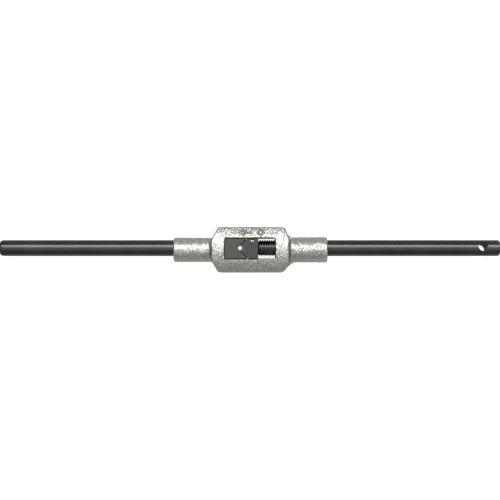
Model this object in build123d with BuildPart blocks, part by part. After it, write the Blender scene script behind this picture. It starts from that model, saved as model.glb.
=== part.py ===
from build123d import *
import math
import os

# Adjustable tap wrench, DIN 1814 pattern, size 3: overall length 375 mm.
# Frame: X runs along the arms, Z is the tap's direction (the thickness), Y is
# across the window. The origin lies on the arms' common axis at mid-length.

# ---------------------------------------------------------------- dimensions
overall_length = 375.0
arm_r = 6.0                 # both arms, ground and blackened bar

# cast body
neck_left_x = -57.1         # outer end of the left neck
neck_right_x = 58.0         # outer end of the right neck
cast_dy = -1.3              # the casting's outside sits off the bores' axis
block_half_y = 17.25
block_crown_z = 12.0        # half thickness at the crown
crown_r = 31.0
back_flat_z = -11.92        # narrow flat along the back, to lie on
rim_round = 0.9
block_left_x = -24.0        # where the full width starts
block_right_x = 26.4
nose_left_x = -30.8         # tip of the rounded nose under the neck
nose_right_x = 31.0
facet_left_x = -27.75       # where the end facets leave the crowned face
facet_right_x = 28.2
facet_drop = 7.0            # over 6 mm of length
draft_deg = 5.0

# window and its rails
win_left_x = -18.9
win_right_x = 19.1
win_dy = -0.4               # window's middle against the bores' axis
win_half_y = 8.05
rail_half_y = 7.25          # rail to window middle
rail_half_z = 3.0
rail_gap_left_x = -12.8     # the rails stop here so that a jaw can drop in
rail_gap_right_x = 3.7
rim_bevel = 0.35

# screw thread, M12 x 1.75, right hand
pitch = 1.75
thread_r = 5.95
thread_core_r = 5.2
thread_clear = 0.15
mouth_r = 6.15              # plain right bore, and the left bore's mouth
mouth_left_x = -45.0        # the left mouth runs in to here

# jaws
jaw_half_z = 10.4
jaw_half_y = 7.55
jaw_slot_half_y = 6.95      # bottom of the side groove that takes the rail
jaw_slot_half_z = 3.3
vee_apex_x = -9.40          # bottom of the fixed jaw's 90 degree vee
nose_apex_x = -9.26         # where the moving jaw's flanks would meet
notch_apex_x = -5.45        # bottom of the notch in the moving jaw
jaw_end_x = 6.30            # back face of the moving jaw
jaw_bevel = 0.38
horn_flat = 0.65            # blunt tips of the fixed jaw's two horns

# journal, its groove and the pin that rides in it
journal_r = 4.25
journal_bore_r = 4.35
journal_tip_x = -1.6
groove_r = 2.85
pin_x = 1.81
pin_y = 4.51
pin_r = 1.5
pin_bore_r = 0.65
pin_bore_depth = 7.0
pin_mouth_r = 1.85          # countersink of the jaw's pin hole
pin_half_z = 10.15
groove_half_x = pin_r + 0.15

# cross hole for a tommy bar
bar_hole_x = 174.2
bar_hole_r = 3.5
bar_hole_tilt = 16.0        # degrees about X

half_length = overall_length / 2.0

os.makedirs("parts", exist_ok=True)


def thread_ridge(start_x, length, root_r, crest_r, half_root, half_crest):
    """One right-handed helical ridge about the X axis, starting on the +Z side."""
    with BuildPart() as ridge:
        with BuildLine() as path:
            helix = Helix(
                pitch=pitch,
                height=length,
                radius=root_r,
                center=(start_x, 0, 0),
                direction=(1, 0, 0),
            )
        with BuildSketch(Plane(origin=helix @ 0, x_dir=(0, 0, 1), z_dir=helix % 0)):
            with BuildLine():
                Polyline(
                    (-0.25, -half_root),
                    (crest_r - root_r, -half_crest),
                    (crest_r - root_r, half_crest),
                    (-0.25, half_root),
                    close=True,
                )
            make_face()
        sweep(path=path.line, is_frenet=True)
    return ridge.part


def screw(core_from, core_to, start_x, length):
    """A stretch of external M12 thread: the core with one ridge wound on it."""
    with BuildPart() as threaded:
        with BuildSketch(Plane.YZ.offset(core_from)):
            Circle(thread_core_r)
        extrude(amount=core_to - core_from)
        add(thread_ridge(start_x, length, thread_core_r, thread_r, 0.80, 0.36))
    return threaded.part


def tap(core_from, core_to, start_x, length):
    """What a tap would cut: the same thread with a little room all round."""
    with BuildPart() as cut:
        with BuildSketch(Plane.YZ.offset(core_from)):
            Circle(thread_core_r + thread_clear)
        extrude(amount=core_to - core_from)
        add(
            thread_ridge(
                start_x,
                length,
                thread_core_r + thread_clear,
                thread_r + thread_clear,
                0.94,
                0.50,
            )
        )
    return cut.part


left_tap = tap(-50.0, -15.0, -47.25, 29.9)

# ---------------------------------------------------------------- body
# Half of the block, from the parting plane up, with draft on its side walls.
def block_outline():
    y0 = cast_dy
    h = block_half_y
    Polyline(
        (-28.9, y0 + 8.6),
        (block_left_x, y0 + h),
        (block_right_x, y0 + h),
        (29.6, y0 + 9.4),
    )
    ThreePointArc((29.6, y0 + 9.4), (nose_right_x, y0), (29.6, y0 - 9.4))
    Polyline(
        (29.6, y0 - 9.4),
        (block_right_x, y0 - h),
        (block_left_x, y0 - h),
        (-28.9, y0 - 8.6),
    )
    ThreePointArc((-28.9, y0 - 8.6), (nose_left_x, y0), (-28.9, y0 + 8.6))


# The crowned cross-section: one large radius across each face.
def crown_profile(extra=0.0):
    y0 = cast_dy
    w = block_half_y + 3.0
    z = block_crown_z + extra
    r = crown_r + extra
    zw = z - (r - math.sqrt(r * r - w * w))
    ThreePointArc((y0 - w, zw), (y0, z), (y0 + w, zw))
    Line((y0 + w, zw), (y0 + w, -zw))
    ThreePointArc((y0 + w, -zw), (y0, -z), (y0 - w, -zw))
    Line((y0 - w, -zw), (y0 - w, zw))


with BuildPart() as crown:
    with BuildSketch(Plane.YZ.offset(-40)):
        with BuildLine():
            crown_profile()
        make_face()
    extrude(amount=80)

with BuildPart() as crown_plus:
    with BuildSketch(Plane.YZ.offset(-40)):
        with BuildLine():
            crown_profile(extra=0.8)
        make_face()
    extrude(amount=80)

with BuildPart() as block:
    with BuildSketch(Plane.XY):
        with BuildLine():
            block_outline()
        make_face()
        fillet(
            vertices().sort_by(Axis.Y)[-2:] + vertices().sort_by(Axis.Y)[:2],
            radius=3.2,
        )
    extrude(amount=14.0, taper=draft_deg)
    mirror(about=Plane.XY)
    add(crown.part, mode=Mode.INTERSECT)
    # sloping facets between the crowned face and each rounded nose
    with BuildSketch(Plane.XZ.offset(-40)):
        for sx, fx in ((-1, facet_left_x), (1, facet_right_x)):
            for sz in (-1, 1):
                with BuildLine():
                    Polyline(
                        (fx, sz * block_crown_z),
                        (fx + sx * 6.0, sz * (block_crown_z - facet_drop)),
                        (fx + sx * 6.0, sz * (block_crown_z + 3.0)),
                        (fx, sz * (block_crown_z + 3.0)),
                        close=True,
                    )
                make_face()
    extrude(amount=80, mode=Mode.SUBTRACT)
    # the casting's rounded rims, on both faces
    fillet(
        block.edges().filter_by(lambda e: abs(e.center().Z) > 5 and e.length > 0.3),
        radius=rim_round,
    )
    # narrow flat along the back's crown
    with BuildSketch(Plane.XY.offset(back_flat_z)):
        with Locations((0, cast_dy)):
            Rectangle(90, 50)
    extrude(amount=-5.0, mode=Mode.SUBTRACT)

with BuildPart() as neck_pair:
    # left neck, a little slimmer towards the block
    with BuildSketch(Plane.XY):
        with BuildLine():
            Polyline(
                (neck_left_x, cast_dy),
                (neck_left_x, cast_dy + 8.45),
                (neck_left_x + 0.9, cast_dy + 9.3),
                (-25.0, cast_dy + 9.15),
                (-25.0, cast_dy),
                close=True,
            )
        make_face()
    revolve(axis=Axis((0, cast_dy, 0), (1, 0, 0)))
    # right neck, a little fuller towards its end
    with BuildSketch(Plane.XY):
        with BuildLine():
            Polyline(
                (25.0, cast_dy),
                (25.0, cast_dy + 9.45),
                (neck_right_x - 0.8, cast_dy + 9.65),
                (neck_right_x, cast_dy + 8.9),
                (neck_right_x, cast_dy),
                close=True,
            )
        make_face()
    revolve(axis=Axis((0, cast_dy, 0), (1, 0, 0)))

# Where the right shoulders flow into the neck, more on the lower side.
with BuildPart() as gusset:
    with BuildSketch(Plane.XY.offset(-5.0)):
        with BuildLine():
            Polyline(
                (27.6, cast_dy - 13.4),
                (29.4, cast_dy - 11.2),
                (31.3, cast_dy - 9.9),
                (33.2, cast_dy - 9.3),
                (33.2, cast_dy - 7.5),
                (27.0, cast_dy - 7.5),
                close=True,
            )
        make_face()
        with BuildLine():
            Polyline(
                (29.0, cast_dy + 11.2),
                (30.4, cast_dy + 9.9),
                (31.8, cast_dy + 9.3),
                (31.8, cast_dy + 7.5),
                (27.0, cast_dy + 7.5),
                (27.0, cast_dy + 11.2),
                close=True,
            )
        make_face()
    extrude(amount=10.0)

# A raised capacity sign above the window: small square, dash, large square.
with BuildPart() as sign:
    with BuildSketch(Plane.XY.offset(6.0)):
        with Locations((-5.1, 11.4)):
            Rectangle(3.6, 3.6, rotation=45)
            Rectangle(2.0, 2.0, rotation=45, mode=Mode.SUBTRACT)
        with Locations((-0.1, 11.4)):
            Rectangle(3.6, 0.9)
        with Locations((8.0, 11.4)):
            Rectangle(4.2, 4.2, rotation=45)
            Rectangle(2.6, 2.6, rotation=45, mode=Mode.SUBTRACT)
    extrude(amount=8.0)
    add(crown_plus.part, mode=Mode.INTERSECT)

with BuildPart() as body:
    add(block.part)
    add(neck_pair.part)
    add(gusset.part)
    add(sign.part)
    # window, right through
    with BuildSketch(Plane.XY.offset(-20)):
        with Locations(((win_left_x + win_right_x) / 2, win_dy)):
            Rectangle(win_right_x - win_left_x, 2 * win_half_y)
        fillet(vertices(), radius=0.8)
    extrude(amount=40, mode=Mode.SUBTRACT)
    # worn-looking bevel round the window's rim, on both faces
    for sz in (-1, 1):
        with BuildSketch(Plane.XY.offset(sz * (block_crown_z + 0.1))):
            with Locations(((win_left_x + win_right_x) / 2, win_dy)):
                Rectangle(
                    win_right_x - win_left_x + 2 * rim_bevel,
                    2 * win_half_y + 2 * rim_bevel,
                )
            fillet(vertices(), radius=1.1)
        extrude(amount=-sz * 1.6, taper=24, mode=Mode.SUBTRACT)
    # guide rails on the window's long walls, interrupted for the jaws' entry
    with BuildSketch(Plane.XY.offset(-rail_half_z)):
        for sy in (-1, 1):
            y_mid = win_dy + sy * (rail_half_y + win_half_y + 0.6) / 2
            width = win_half_y + 0.6 - rail_half_y
            with Locations(((win_left_x + rail_gap_left_x) / 2 - 0.4, y_mid)):
                Rectangle(rail_gap_left_x - win_left_x + 0.8, width)
            with Locations(((win_right_x + rail_gap_right_x) / 2 + 0.4, y_mid)):
                Rectangle(win_right_x - rail_gap_right_x + 0.8, width)
    extrude(amount=2 * rail_half_z)
    # the left bore's tapped length and plain mouth, then the right bore
    add(left_tap, mode=Mode.SUBTRACT)
    with BuildSketch(Plane.YZ.offset(neck_left_x - 1)):
        Circle(mouth_r)
    extrude(amount=mouth_left_x - neck_left_x + 1, mode=Mode.SUBTRACT)
    with BuildSketch(Plane.YZ.offset(14.0)):
        Circle(mouth_r)
    extrude(amount=46, mode=Mode.SUBTRACT)
    # lead-in bevels where the arms enter
    with BuildSketch(Plane.XY):
        with BuildLine():
            Polyline(
                (neck_left_x - 1, 0),
                (neck_left_x - 1, 7.45),
                (neck_left_x + 0.4, mouth_r),
                (neck_left_x + 0.4, 0),
                close=True,
            )
        make_face()
        with BuildLine():
            Polyline(
                (neck_right_x + 1, 0),
                (neck_right_x + 1, 7.45),
                (neck_right_x - 0.4, mouth_r),
                (neck_right_x - 0.4, 0),
                close=True,
            )
        make_face()
    revolve(axis=Axis.X, mode=Mode.SUBTRACT)
body.part.label = "body"
export_step(body.part, "parts/body.step")

# ---------------------------------------------------------------- fixed arm
fixed_screw = screw(-48.0, -20.4, -43.75, 19.8)

with BuildPart() as fixed_arm:
    add(fixed_screw)
    with BuildSketch(Plane.XY):
        with BuildLine():
            Polyline(
                (-half_length, 0),
                (-half_length, 4.5),
                (-half_length + 0.22, 5.1),
                (-half_length + 0.62, 5.55),
                (-half_length + 1.3, 5.82),
                (-half_length + 2.0, arm_r),
                (-47.5, arm_r),
                (-46.0, 4.4),
                (-46.0, 0),
                close=True,
            )
        make_face()
        with BuildLine():
            Polyline(
                (-22.0, 0),
                (-22.0, journal_r),
                (-16.0, journal_r),
                (-15.6, journal_r - 0.4),
                (-15.6, 0),
                close=True,
            )
        make_face()
    revolve(axis=Axis.X)
fixed_arm.part.label = "fixed_arm"
export_step(fixed_arm.part, "parts/fixed_arm.step")

# ---------------------------------------------------------------- adjusting arm
adjusting_screw = screw(2.0, 46.0, 4.75, 37.0)

with BuildPart() as adjusting_arm:
    add(adjusting_screw)
    # bevelled start of the thread, clear of the jaw
    with BuildSketch(Plane.XY):
        with BuildLine():
            Polyline(
                (1.0, 8.0),
                (1.0, 0),
                (jaw_end_x + 0.15, 0),
                (jaw_end_x + 0.15, thread_core_r - 0.15),
                (jaw_end_x + 1.25, thread_r + 0.02),
                (jaw_end_x + 1.25, 8.0),
                close=True,
            )
        make_face()
    revolve(axis=Axis.X, mode=Mode.SUBTRACT)
    # journal with its groove
    with BuildSketch(Plane.XY):
        with BuildLine():
            Polyline(
                (journal_tip_x, 0),
                (journal_tip_x, journal_r - 0.5),
                (journal_tip_x + 0.5, journal_r),
                (pin_x - groove_half_x, journal_r),
                (pin_x - groove_half_x, groove_r),
                (pin_x + groove_half_x, groove_r),
                (pin_x + groove_half_x, journal_r),
                (jaw_end_x + 0.8, journal_r),
                (jaw_end_x + 0.8, 0),
                close=True,
            )
        make_face()
    revolve(axis=Axis.X)
    # plain bar with a slightly domed end
    with BuildSketch(Plane.XY):
        with BuildLine():
            Polyline(
                (44.0, 0),
                (44.0, 4.4),
                (45.5, arm_r),
                (half_length - 1.1, arm_r),
                (half_length - 0.5, 5.72),
                (half_length - 0.15, 5.3),
                (half_length, 4.6),
                (half_length, 0),
                close=True,
            )
        make_face()
    revolve(axis=Axis.X)
    # cross hole near the outer end
    hole_dir = Vector(
        0,
        math.sin(math.radians(bar_hole_tilt)),
        math.cos(math.radians(bar_hole_tilt)),
    )
    with BuildSketch(Plane(origin=(bar_hole_x, 0, 0), x_dir=(1, 0, 0), z_dir=hole_dir)):
        Circle(bar_hole_r)
    extrude(amount=12, both=True, mode=Mode.SUBTRACT)
adjusting_arm.part.label = "adjusting_arm"
export_step(adjusting_arm.part, "parts/adjusting_arm.step")

# ---------------------------------------------------------------- fixed jaw
with BuildPart() as fixed_jaw:
    with BuildSketch(Plane.XY.offset(-jaw_half_z)):
        with BuildLine():
            Polyline(
                (win_left_x + 0.05, win_dy - jaw_half_y + 0.7),
                (win_left_x + 0.75, win_dy - jaw_half_y),
                (vee_apex_x + jaw_half_y - win_dy - horn_flat, win_dy - jaw_half_y),
                (
                    vee_apex_x + jaw_half_y - win_dy - horn_flat,
                    win_dy - jaw_half_y + horn_flat,
                ),
                (vee_apex_x, 0),
                (
                    vee_apex_x + jaw_half_y + win_dy - horn_flat,
                    win_dy + jaw_half_y - horn_flat,
                ),
                (vee_apex_x + jaw_half_y + win_dy - horn_flat, win_dy + jaw_half_y),
                (win_left_x + 0.75, win_dy + jaw_half_y),
                (win_left_x + 0.05, win_dy + jaw_half_y - 0.7),
                close=True,
            )
        make_face()
    extrude(amount=2 * jaw_half_z)
    chamfer(
        fixed_jaw.edges().filter_by(
            lambda e: abs(abs(e.center().Z) - jaw_half_z) < 0.01
        ),
        length=jaw_bevel,
    )
    # side grooves for the rails
    with BuildSketch(Plane.XY.offset(-jaw_slot_half_z)):
        for sy in (-1, 1):
            with Locations((-8.0, win_dy + sy * (jaw_slot_half_y + 2.0))):
                Rectangle(40, 4.0)
    extrude(amount=2 * jaw_slot_half_z, mode=Mode.SUBTRACT)
    # seat for the fixed arm's pilot
    with BuildSketch(Plane.YZ.offset(win_left_x - 1)):
        Circle(journal_bore_r)
    extrude(amount=5.0, mode=Mode.SUBTRACT)
fixed_jaw.part.label = "fixed_jaw"
export_step(fixed_jaw.part, "parts/fixed_jaw.step")

# ---------------------------------------------------------------- moving jaw
with BuildPart() as moving_jaw:
    prong_x = (nose_apex_x + notch_apex_x) / 2
    prong_y = (notch_apex_x - nose_apex_x) / 2
    with BuildSketch(Plane.XY.offset(-jaw_half_z)):
        with BuildLine():
            Polyline(
                (notch_apex_x, 0),
                (prong_x, prong_y),
                (nose_apex_x + win_dy + jaw_half_y, win_dy + jaw_half_y),
                (jaw_end_x, win_dy + jaw_half_y),
                (jaw_end_x, win_dy - jaw_half_y),
                (nose_apex_x - win_dy + jaw_half_y, win_dy - jaw_half_y),
                (prong_x, -prong_y),
                close=True,
            )
        make_face()
    extrude(amount=2 * jaw_half_z)
    chamfer(
        moving_jaw.edges().filter_by(
            lambda e: abs(abs(e.center().Z) - jaw_half_z) < 0.01
        ),
        length=jaw_bevel,
    )
    with BuildSketch(Plane.XY.offset(-jaw_slot_half_z)):
        for sy in (-1, 1):
            with Locations((0.0, win_dy + sy * (jaw_slot_half_y + 2.0))):
                Rectangle(40, 4.0)
    extrude(amount=2 * jaw_slot_half_z, mode=Mode.SUBTRACT)
    # bore for the journal, and the pin's hole across its edge
    with BuildSketch(Plane.YZ.offset(journal_tip_x - 0.4)):
        Circle(journal_bore_r)
    extrude(amount=20, mode=Mode.SUBTRACT)
    with BuildSketch(Plane.XY.offset(-20)):
        with Locations((pin_x, pin_y)):
            Circle(pin_r)
    extrude(amount=40, mode=Mode.SUBTRACT)
    for sz in (-1, 1):
        with BuildSketch(Plane.XY.offset(sz * (jaw_half_z + 0.1))):
            with Locations((pin_x, pin_y)):
                Circle(pin_mouth_r + 0.1)
        extrude(amount=-sz * 0.45, taper=45, mode=Mode.SUBTRACT)
moving_jaw.part.label = "moving_jaw"
export_step(moving_jaw.part, "parts/moving_jaw.step")

# ---------------------------------------------------------------- jaw pin
# A parallel pin, bevelled, with a blind bore in each end.
with BuildPart() as jaw_pin:
    with BuildSketch(Plane.XY.offset(-pin_half_z)):
        with Locations((pin_x, pin_y)):
            Circle(pin_r)
    extrude(amount=2 * pin_half_z)
    chamfer(
        jaw_pin.edges().filter_by(GeomType.CIRCLE),
        length=0.25,
        length2=0.75,
    )
    for sz in (-1, 1):
        with BuildSketch(Plane.XY.offset(sz * (pin_half_z + 1.0))):
            with Locations((pin_x, pin_y)):
                Circle(pin_bore_r)
        extrude(amount=-sz * (pin_bore_depth + 1.0), mode=Mode.SUBTRACT)
jaw_pin.part.label = "jaw_pin"
export_step(jaw_pin.part, "parts/jaw_pin.step")
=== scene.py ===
import math

import bmesh
import bpy
import numpy as np
from mathutils import Matrix, Vector, noise


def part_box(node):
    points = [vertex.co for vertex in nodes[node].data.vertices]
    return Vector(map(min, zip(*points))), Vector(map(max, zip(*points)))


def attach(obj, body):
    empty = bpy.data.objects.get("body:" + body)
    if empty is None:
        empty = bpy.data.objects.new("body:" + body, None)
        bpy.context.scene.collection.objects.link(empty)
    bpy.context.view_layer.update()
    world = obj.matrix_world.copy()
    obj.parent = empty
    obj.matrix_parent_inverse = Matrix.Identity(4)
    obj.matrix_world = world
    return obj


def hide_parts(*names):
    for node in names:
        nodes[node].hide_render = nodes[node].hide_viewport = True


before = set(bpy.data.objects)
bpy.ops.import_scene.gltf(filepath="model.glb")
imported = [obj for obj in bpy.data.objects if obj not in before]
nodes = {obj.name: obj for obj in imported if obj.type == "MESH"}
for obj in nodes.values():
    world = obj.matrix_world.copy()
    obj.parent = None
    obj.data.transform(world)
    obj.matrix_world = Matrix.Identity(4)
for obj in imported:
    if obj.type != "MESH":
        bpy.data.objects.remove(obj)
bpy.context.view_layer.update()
scene = bpy.context.scene
MM = 0.001

# ------------------------------------------------------------------ view
# Straight down on the front face, with +Y up in the picture.
PX = 0.7525 * MM
FOCUS = 0.676
aim = Vector((0.15 * PX, -1.95 * PX, 0.0))
cam_data = bpy.data.cameras.new("view_camera")
cam_data.sensor_width = 36.0
cam_data.lens = 36.0 * FOCUS / (500.0 * PX)
cam_data.clip_start = 0.01
cam_data.clip_end = 20.0
cam = bpy.data.objects.new("view_camera", cam_data)
cam.location = (aim.x, aim.y, FOCUS)
cam.rotation_euler = (0.0, 0.0, 0.0)
scene.collection.objects.link(cam)
scene.camera = cam

scene.view_settings.view_transform = "Standard"
scene.view_settings.look = "None"
scene.view_settings.exposure = 0.0
scene.view_settings.gamma = 1.0


# ------------------------------------------------------------------ node helpers
class Tree:
    """Small helper that writes a material's nodes from left to right."""

    def __init__(self, name):
        self.mat = bpy.data.materials.new(name)
        self.mat.use_nodes = True
        self.nt = self.mat.node_tree
        self.nt.nodes.clear()
        self.out = self.nt.nodes.new("ShaderNodeOutputMaterial")
        self.bsdf = self.nt.nodes.new("ShaderNodeBsdfPrincipled")
        self.nt.links.new(self.bsdf.outputs[0], self.out.inputs[0])
        self.coord = self.nt.nodes.new("ShaderNodeTexCoord").outputs["Object"]

    def node(self, kind, **inputs):
        n = self.nt.nodes.new(kind)
        for key, value in inputs.items():
            self.put(n, key, value)
        return n

    def put(self, n, key, value):
        socket = n.inputs[int(key[1:])] if key[0] == "i" and key[1:].isdigit() else n.inputs[key]
        if isinstance(value, bpy.types.NodeSocket):
            self.nt.links.new(value, socket)
        else:
            socket.default_value = value

    def mapping(self, scale, rotation=(0, 0, 0), location=(0, 0, 0), source=None):
        n = self.nt.nodes.new("ShaderNodeMapping")
        self.nt.links.new(source or self.coord, n.inputs["Vector"])
        n.inputs["Scale"].default_value = scale
        n.inputs["Rotation"].default_value = rotation
        n.inputs["Location"].default_value = location
        return n.outputs[0]

    def noise(self, scale, detail=3.0, rough=0.55, vector=None, distortion=0.0):
        n = self.nt.nodes.new("ShaderNodeTexNoise")
        self.nt.links.new(vector or self.coord, n.inputs["Vector"])
        n.inputs["Scale"].default_value = scale
        n.inputs["Detail"].default_value = detail
        n.inputs["Roughness"].default_value = rough
        n.inputs["Distortion"].default_value = distortion
        return n.outputs["Fac"]

    def voronoi(self, scale, feature="F1", vector=None, randomness=1.0):
        n = self.nt.nodes.new("ShaderNodeTexVoronoi")
        n.feature = feature
        self.nt.links.new(vector or self.coord, n.inputs["Vector"])
        n.inputs["Scale"].default_value = scale
        n.inputs["Randomness"].default_value = randomness
        return n.outputs["Distance"], n.outputs.get("Color")

    def ramp(self, value, stops, colour=False):
        n = self.nt.nodes.new("ShaderNodeValToRGB")
        self.nt.links.new(value, n.inputs[0])
        e = n.color_ramp.elements
        while len(e) < len(stops):
            e.new(0.5)
        for el, (pos, c) in zip(e, stops):
            el.position = pos
            el.color = (*c, 1.0) if colour else (c, c, c, 1.0)
        return n.outputs[0]

    def math(self, op, a, b=0.0, clamp=False):
        n = self.nt.nodes.new("ShaderNodeMath")
        n.operation = op
        n.use_clamp = clamp
        for k, v in ((0, a), (1, b)):
            if isinstance(v, bpy.types.NodeSocket):
                self.nt.links.new(v, n.inputs[k])
            else:
                n.inputs[k].default_value = v
        return n.outputs[0]

    def mix(self, fac, a, b):
        n = self.nt.nodes.new("ShaderNodeMix")
        n.data_type = "RGBA"
        for k, v in ((0, fac), (6, a), (7, b)):
            if isinstance(v, bpy.types.NodeSocket):
                self.nt.links.new(v, n.inputs[k])
            elif k == 0:
                n.inputs[k].default_value = v
            else:
                n.inputs[k].default_value = (*v, 1.0)
        return n.outputs[2]

    def bump(self, height, strength, distance, normal=None):
        n = self.nt.nodes.new("ShaderNodeBump")
        self.nt.links.new(height, n.inputs["Height"])
        n.inputs["Strength"].default_value = strength
        n.inputs["Distance"].default_value = distance
        if normal is not None:
            self.nt.links.new(normal, n.inputs["Normal"])
        return n.outputs[0]


def grey(v, warm=0.0):
    return (v, v, max(0.0, v - warm))


# ------------------------------------------------------------------ materials
def cast_zinc():
    t = Tree("cast_zinc")
    b = t.bsdf
    b.inputs["Metallic"].default_value = 1.0
    # mottling of the tumbled skin, fine diagonal strokes, grain and dark pits
    coarse = t.noise(420.0, 3.0, 0.6)
    patch = t.noise(95.0, 2.0, 0.5)
    fine = t.noise(1700.0, 3.0, 0.65)
    slant = t.mapping((820.0, 210.0, 420.0), rotation=(0.0, 0.0, math.radians(-40.0)))
    strokes = t.noise(1.0, 2.0, 0.6, vector=slant, distortion=0.5)
    cross = t.mapping((760.0, 230.0, 420.0), rotation=(0.0, 0.0, math.radians(38.0)))
    strokes_b = t.noise(1.0, 2.0, 0.6, vector=cross, distortion=0.5)
    which = t.ramp(patch, [(0.40, 1.0), (0.52, 0.0)])
    hatch = t.math(
        "ADD",
        t.math("MULTIPLY", strokes_b, which),
        t.math("MULTIPLY", strokes, t.math("SUBTRACT", 1.0, which)),
    )
    pits = t.noise(560.0, 2.0, 0.5, distortion=0.4)
    mottle = t.math(
        "ADD",
        t.math("MULTIPLY", coarse, 0.35),
        t.math("ADD", t.math("MULTIPLY", hatch, 0.40), t.math("MULTIPLY", fine, 0.25)),
    )
    base = t.ramp(
        mottle,
        [
            (0.36, (0.48, 0.475, 0.445)),
            (0.50, (0.67, 0.665, 0.64)),
            (0.62, (0.86, 0.855, 0.83)),
        ],
        colour=True,
    )
    pit_mask = t.ramp(pits, [(0.24, 1.0), (0.31, 0.0)])
    colour = t.mix(pit_mask, base, (0.22, 0.215, 0.20))
    # painted shade that darkens the walls of the raised sign and the steep ends under the necks
    painted_shade = t.nt.nodes.new("ShaderNodeAttribute")
    painted_shade.attribute_name = "painted_shade"
    # mix in the painted shade as a dark colour
    colour = t.mix(painted_shade.outputs["Fac"], colour, (0.13, 0.13, 0.12))
    t.put(b, "Base Color", colour)
    rough = t.ramp(mottle, [(0.36, 0.46), (0.50, 0.37), (0.64, 0.30)])
    t.put(b, "Roughness", rough)
    n1 = t.bump(coarse, 0.55, 0.0008)
    n2 = t.bump(hatch, 0.75, 0.0011, n1)
    n3 = t.bump(fine, 0.45, 0.00024, n2)
    n4 = t.bump(t.ramp(pits, [(0.24, 0.0), (0.34, 1.0)]), 0.5, 0.0003, n3)
    t.put(b, "Normal", n4)
    return t.mat


def black_bar():
    t = Tree("black_steel_bar")
    b = t.bsdf
    b.inputs["Metallic"].default_value = 1.0
    around = t.mapping((900.0, 60.0, 60.0))
    ground = t.noise(1.0, 3.0, 0.6, vector=around)
    cloud = t.noise(45.0, 3.0, 0.5)
    fine = t.noise(2600.0, 2.0, 0.5)
    base = t.ramp(
        cloud,
        [(0.30, (0.088, 0.089, 0.083)), (0.70, (0.112, 0.113, 0.107))],
        colour=True,
    )
    t.put(b, "Base Color", base)
    mixv = t.math("ADD", t.math("MULTIPLY", ground, 0.5), t.math("MULTIPLY", cloud, 0.5))
    t.put(b, "Roughness", t.ramp(mixv, [(0.3, 0.25), (0.7, 0.34)]))
    n1 = t.bump(ground, 0.10, 0.00004)
    n2 = t.bump(fine, 0.12, 0.00003, n1)
    t.put(b, "Normal", n2)
    return t.mat


def hardened(name, light, warm):
    t = Tree(name)
    b = t.bsdf
    b.inputs["Metallic"].default_value = 0.75
    grind = t.mapping((70.0, 2200.0, 300.0))
    lines = t.noise(1.0, 3.0, 0.6, vector=grind)
    cloud = t.noise(150.0, 4.0, 0.6)
    base = t.ramp(
        cloud,
        [(0.30, grey(light * 0.78, warm)), (0.70, grey(light * 1.15, warm))],
        colour=True,
    )
    t.put(b, "Base Color", base)
    mixv = t.math("ADD", t.math("MULTIPLY", lines, 0.5), t.math("MULTIPLY", cloud, 0.5))
    t.put(b, "Roughness", t.ramp(mixv, [(0.3, 0.42), (0.7, 0.55)]))
    n1 = t.bump(lines, 0.25, 0.00004)
    t.put(b, "Normal", n1)
    return t.mat


def spring_steel():
    t = Tree("bright_spring_steel")
    b = t.bsdf
    b.inputs["Metallic"].default_value = 1.0
    cloud = t.noise(900.0, 3.0, 0.6)
    base = t.ramp(
        cloud, [(0.3, (0.36, 0.36, 0.35)), (0.7, (0.52, 0.52, 0.51))], colour=True
    )
    # painted shade in the end's blind bore and round the pin's edge
    p_lo, p_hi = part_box("jaw_pin")
    cx, cy = (p_lo[0] + p_hi[0]) / 2.0, (p_lo[1] + p_hi[1]) / 2.0
    xyz = t.nt.nodes.new("ShaderNodeSeparateXYZ")
    t.nt.links.new(t.coord, xyz.inputs[0])
    dx = t.math("SUBTRACT", xyz.outputs[0], cx)
    dy = t.math("SUBTRACT", xyz.outputs[1], cy)
    away = t.math("SQRT", t.math("ADD", t.math("MULTIPLY", dx, dx), t.math("MULTIPLY", dy, dy)))
    away = t.math("MULTIPLY", away, 500.0)
    painted_pin_shade = t.ramp(away, [(0.36, 1.0), (0.42, 0.0), (0.62, 0.0), (0.70, 0.9)])
    # the painted shade turns the base colour near black there
    t.put(b, "Base Color", t.mix(painted_pin_shade, base, (0.02, 0.02, 0.02)))
    t.put(b, "Roughness", t.ramp(cloud, [(0.3, 0.20), (0.7, 0.30)]))
    t.put(b, "Normal", t.bump(cloud, 0.15, 0.00004))
    return t.mat


MATS = {
    "body": cast_zinc(),
    "fixed_arm": black_bar(),
    "fixed_jaw": hardened("dark_jaw_fixed", 0.115, 0.010),
    "moving_jaw": hardened("dark_jaw_moving", 0.095, 0.002),
    "jaw_pin": spring_steel(),
}
MATS["adjusting_arm"] = MATS["fixed_arm"]


def assign(obj, mat):
    obj.data.materials.clear()
    obj.data.materials.append(mat)


def shade(obj, angle=35.0):
    for p in obj.data.polygons:
        p.use_smooth = True
    with bpy.context.temp_override(object=obj, active_object=obj, selected_objects=[obj]):
        bpy.ops.object.shade_smooth_by_angle(angle=math.radians(angle))


# ------------------------------------------------------------------ pieces
def copy_of(node, name):
    """A new object with a copy of a CAD node's mesh, for reshaping."""
    data = nodes[node].data.copy()
    obj = bpy.data.objects.new(name, data)
    scene.collection.objects.link(obj)
    return obj


def apply(obj):
    dg = bpy.context.evaluated_depsgraph_get()
    dg.update()
    mesh = bpy.data.meshes.new_from_object(obj.evaluated_get(dg), depsgraph=dg)
    obj.modifiers.clear()
    old = obj.data
    obj.data = mesh
    bpy.data.meshes.remove(old)


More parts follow.
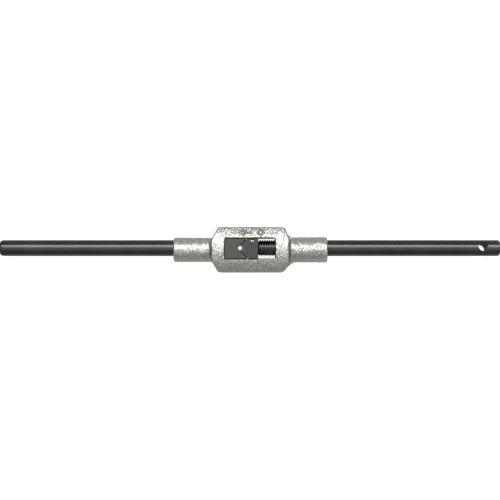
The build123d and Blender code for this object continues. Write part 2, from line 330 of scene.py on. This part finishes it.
def cast_body():
    """The casting: the CAD body's surface, remeshed, softened and given its skin."""
    obj = copy_of("body", "cast_body")
    bm = bmesh.new()
    bm.from_mesh(obj.data)
    bmesh.ops.remove_doubles(bm, verts=bm.verts, dist=1e-6)
    bm.to_mesh(obj.data)
    bm.free()
    m = obj.modifiers.new("skin", "REMESH")
    m.mode = "VOXEL"
    m.voxel_size = 0.27 * MM
    m.use_smooth_shade = True
    apply(obj)

    lo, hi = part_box("body")
    jaw_lo, jaw_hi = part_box("fixed_jaw")
    win_l, win_r = jaw_lo[0] - 0.05 * MM, 19.1 * MM
    win_b, win_t = jaw_lo[1] - 0.5 * MM, jaw_hi[1] + 0.5 * MM
    mid_y = (lo[1] + hi[1]) / 2.0

    me = obj.data
    n = len(me.vertices)
    co = np.empty(n * 3)
    me.vertices.foreach_get("co", co)
    co = co.reshape(-1, 3)
    nor = np.empty(n * 3)
    me.vertices.foreach_get("normal", nor)
    nor = np.ascontiguousarray(nor.reshape(-1, 3))
    ed = np.empty(len(me.edges) * 2, dtype=np.int64)
    me.edges.foreach_get("vertices", ed)
    ed = ed.reshape(-1, 2)
    deg = np.bincount(ed.ravel(), minlength=n).astype(float)

    # where the casting's outer skin is, clear of the window walls and the bores
    x, y, z = co[:, 0], co[:, 1], co[:, 2]
    inside_window = (x > win_l) & (x < win_r) & (y > win_b) & (y < win_t)
    from_bore = np.hypot(y, z)
    skin = np.clip((from_bore - 7.2 * MM) / (0.8 * MM), 0.0, 1.0)
    skin[inside_window] = 0.0
    deep = (np.abs(z) < 8.6 * MM) & (x > win_l - 1.2 * MM) & (x < win_r + 1.2 * MM)
    deep &= (y > win_b - 1.2 * MM) & (y < win_t + 1.2 * MM)
    skin[deep] = 0.0

    # soften the edges, more where the necks grow out of the block
    foot = np.maximum(
        np.exp(-(((x - 30.6 * MM) / (2.4 * MM)) ** 2)),
        0.6 * np.exp(-(((x + 30.4 * MM) / (1.8 * MM)) ** 2)),
    )
    raised = (y > 7.9 * MM) & (z > 4.0 * MM) & (x > -9.0 * MM) & (x < 12.5 * MM)
    weight = skin * 0.5
    for k in range(26):
        w = weight if k < 4 else weight * foot * 1.6
        w = np.clip(np.where(raised, 0.0, w), 0.0, 0.8)
        total = np.zeros_like(co)
        np.add.at(total, ed[:, 0], co[ed[:, 1]])
        np.add.at(total, ed[:, 1], co[ed[:, 0]])
        co += (total / deg[:, None] - co) * w[:, None]

    # the lower right shoulder leans out further and runs into the neck
    down = (mid_y - y) / MM
    lean = np.interp(down, [7.5, 9.8, 11.0, 17.2], [0.0, 0.7, 1.1, -1.0])
    reach = np.clip((x / MM - 22.0) / 3.5, 0.0, 1.0) * np.clip((36.0 - x / MM) / 3.0, 0.0, 1.0)
    x += lean * reach * MM

    # close guide faces where the rails are interrupted
    wall = (x > -13.1 * MM) & (x < 4.0 * MM) & (np.abs(z) < 8.4 * MM)
    for edge, side in ((win_b, 1.0), (win_t, -1.0)):
        on = wall & (np.abs(y - edge) < 0.34 * MM)
        y[on] = edge + side * 0.34 * MM

    # painted shade: on the sign's walls, and on the steep ends under the necks
    me.vertices.foreach_set("co", co.ravel())
    me.update()
    me.vertices.foreach_get("normal", nor.ravel())
    crown_n = np.stack([np.zeros(n), (y - mid_y) / 31.0 / MM, np.ones(n)], axis=1)
    crown_n /= np.linalg.norm(crown_n, axis=1)[:, None]
    off = 1.0 - (nor * crown_n).sum(axis=1)
    painted_shade = np.where(raised & (z > 6.8 * MM), np.clip(off * 7.0, 0.0, 0.92), 0.0)
    ends = np.maximum(x - 28.5 * MM, -28.0 * MM - x) / MM
    band = np.clip(ends / 0.5, 0.0, 1.0) * np.clip((2.9 - ends) / 0.4, 0.0, 1.0)
    facing = np.clip((np.abs(nor[:, 0]) - 0.35) / 0.25, 0.0, 1.0)
    near = np.clip((9.4 - np.abs(y - mid_y) / MM) / 2.0, 0.0, 1.0)
    painted_shade = np.maximum(painted_shade, 0.72 * band * facing * near * (np.abs(z) > 4.0 * MM))
    for _ in range(1):
        total = np.zeros(n)
        np.add.at(total, ed[:, 0], painted_shade[ed[:, 1]])
        np.add.at(total, ed[:, 1], painted_shade[ed[:, 0]])
        painted_shade = 0.8 * painted_shade + 0.2 * total / deg
    # store the painted shade for the material to darken the colour with
    layer = me.attributes.new("painted_shade", "FLOAT", "POINT")
    layer.data.foreach_set("value", painted_shade)

    # a tumbled skin: shallow waves, small dents, and a ragged rim at the window
    rim_gap = np.maximum.reduce([win_l - x, x - win_r, win_b - y, y - win_t])
    rim = np.exp(-((rim_gap / (0.9 * MM)) ** 2)) * (np.abs(z) > 8.6 * MM)
    rim *= ~inside_window
    push = np.zeros(n)
    for k in range(n):
        if skin[k] <= 0.0 and rim[k] < 0.05:
            continue
        p = Vector(co[k]) * 1000.0
        wave = noise.noise(p * 0.33) * 0.050
        dent = noise.noise(p * 0.95 + Vector((7.0, 3.0, 1.0))) * 0.032
        grit = noise.noise(p * 2.1 + Vector((1.0, 9.0, 4.0))) * 0.014
        push[k] = (wave + dent + grit - 0.06) * skin[k]
        if rim[k] >= 0.05:
            nick = noise.noise(p * 0.8 + Vector((3.0, 5.0, 2.0)))
            push[k] += rim[k] * (nick * 0.20 - 0.05)
    co += nor * (push * MM)[:, None]

    # never proud of the CAD body's own box
    for axis in range(3):
        co[:, axis] = np.clip(co[:, axis], lo[axis], hi[axis])
    me.vertices.foreach_set("co", co.ravel())
    me.update()
    return obj


cast = cast_body()
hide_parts("body")
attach(cast, "frame")
assign(cast, MATS["body"])

for name in ("fixed_arm", "adjusting_arm", "fixed_jaw", "moving_jaw", "jaw_pin"):
    assign(nodes[name], MATS[name])

# ------------------------------------------------------------------ floor and light
floor_mesh = bpy.data.meshes.new("floor")
S = 3.0
floor_mesh.from_pydata([(-S, -S, 0), (S, -S, 0), (S, S, 0), (-S, S, 0)], [], [(0, 1, 2, 3)])
floor = bpy.data.objects.new("floor", floor_mesh)
floor.location = (0, 0, -11.94 * MM)
scene.collection.objects.link(floor)
ft = Tree("floor_white")
ft.bsdf.inputs["Base Color"].default_value = (0.50, 0.50, 0.49, 1)
ft.bsdf.inputs["Roughness"].default_value = 1.0
ft.bsdf.inputs["Specular IOR Level"].default_value = 0.0
ft.bsdf.inputs["Emission Color"].default_value = (1, 1, 1, 1)
# a back-lit white table: its glow shows to the eye and isn't mirrored in the tool
glow = ft.nt.nodes.new("ShaderNodeLightPath")
ft.nt.links.new(
    ft.math("MULTIPLY", glow.outputs["Is Camera Ray"], 0.93),
    ft.bsdf.inputs["Emission Strength"],
)
assign(floor, ft.mat)

world = bpy.data.worlds.new("studio")
scene.world = world
world.use_nodes = True
world.node_tree.nodes["Background"].inputs[0].default_value = (1, 1, 1, 1)
world.node_tree.nodes["Background"].inputs[1].default_value = 0.25


def soft_light(name, direction, distance, size, size_y, power, tint=(1, 1, 1)):
    d = bpy.data.lights.new(name, "AREA")
    d.shape = "RECTANGLE"
    d.size = size
    d.size_y = size_y
    d.energy = power
    d.color = tint
    o = bpy.data.objects.new(name, d)
    v = Vector(direction).normalized() * distance
    o.location = v
    o.rotation_euler = (-v).to_track_quat("-Z", "Y").to_euler()
    scene.collection.objects.link(o)
    return o


# main soft box, leaning towards +Y
a = math.radians(28)
soft_light("key", (0, math.sin(a), math.cos(a)), 1.6, 2.6, 0.75, 23.0)
# weaker fill on the near side of it
a = math.radians(-12)
soft_light("fill", (0, math.sin(a), math.cos(a)), 1.6, 2.6, 1.1, 3.6)
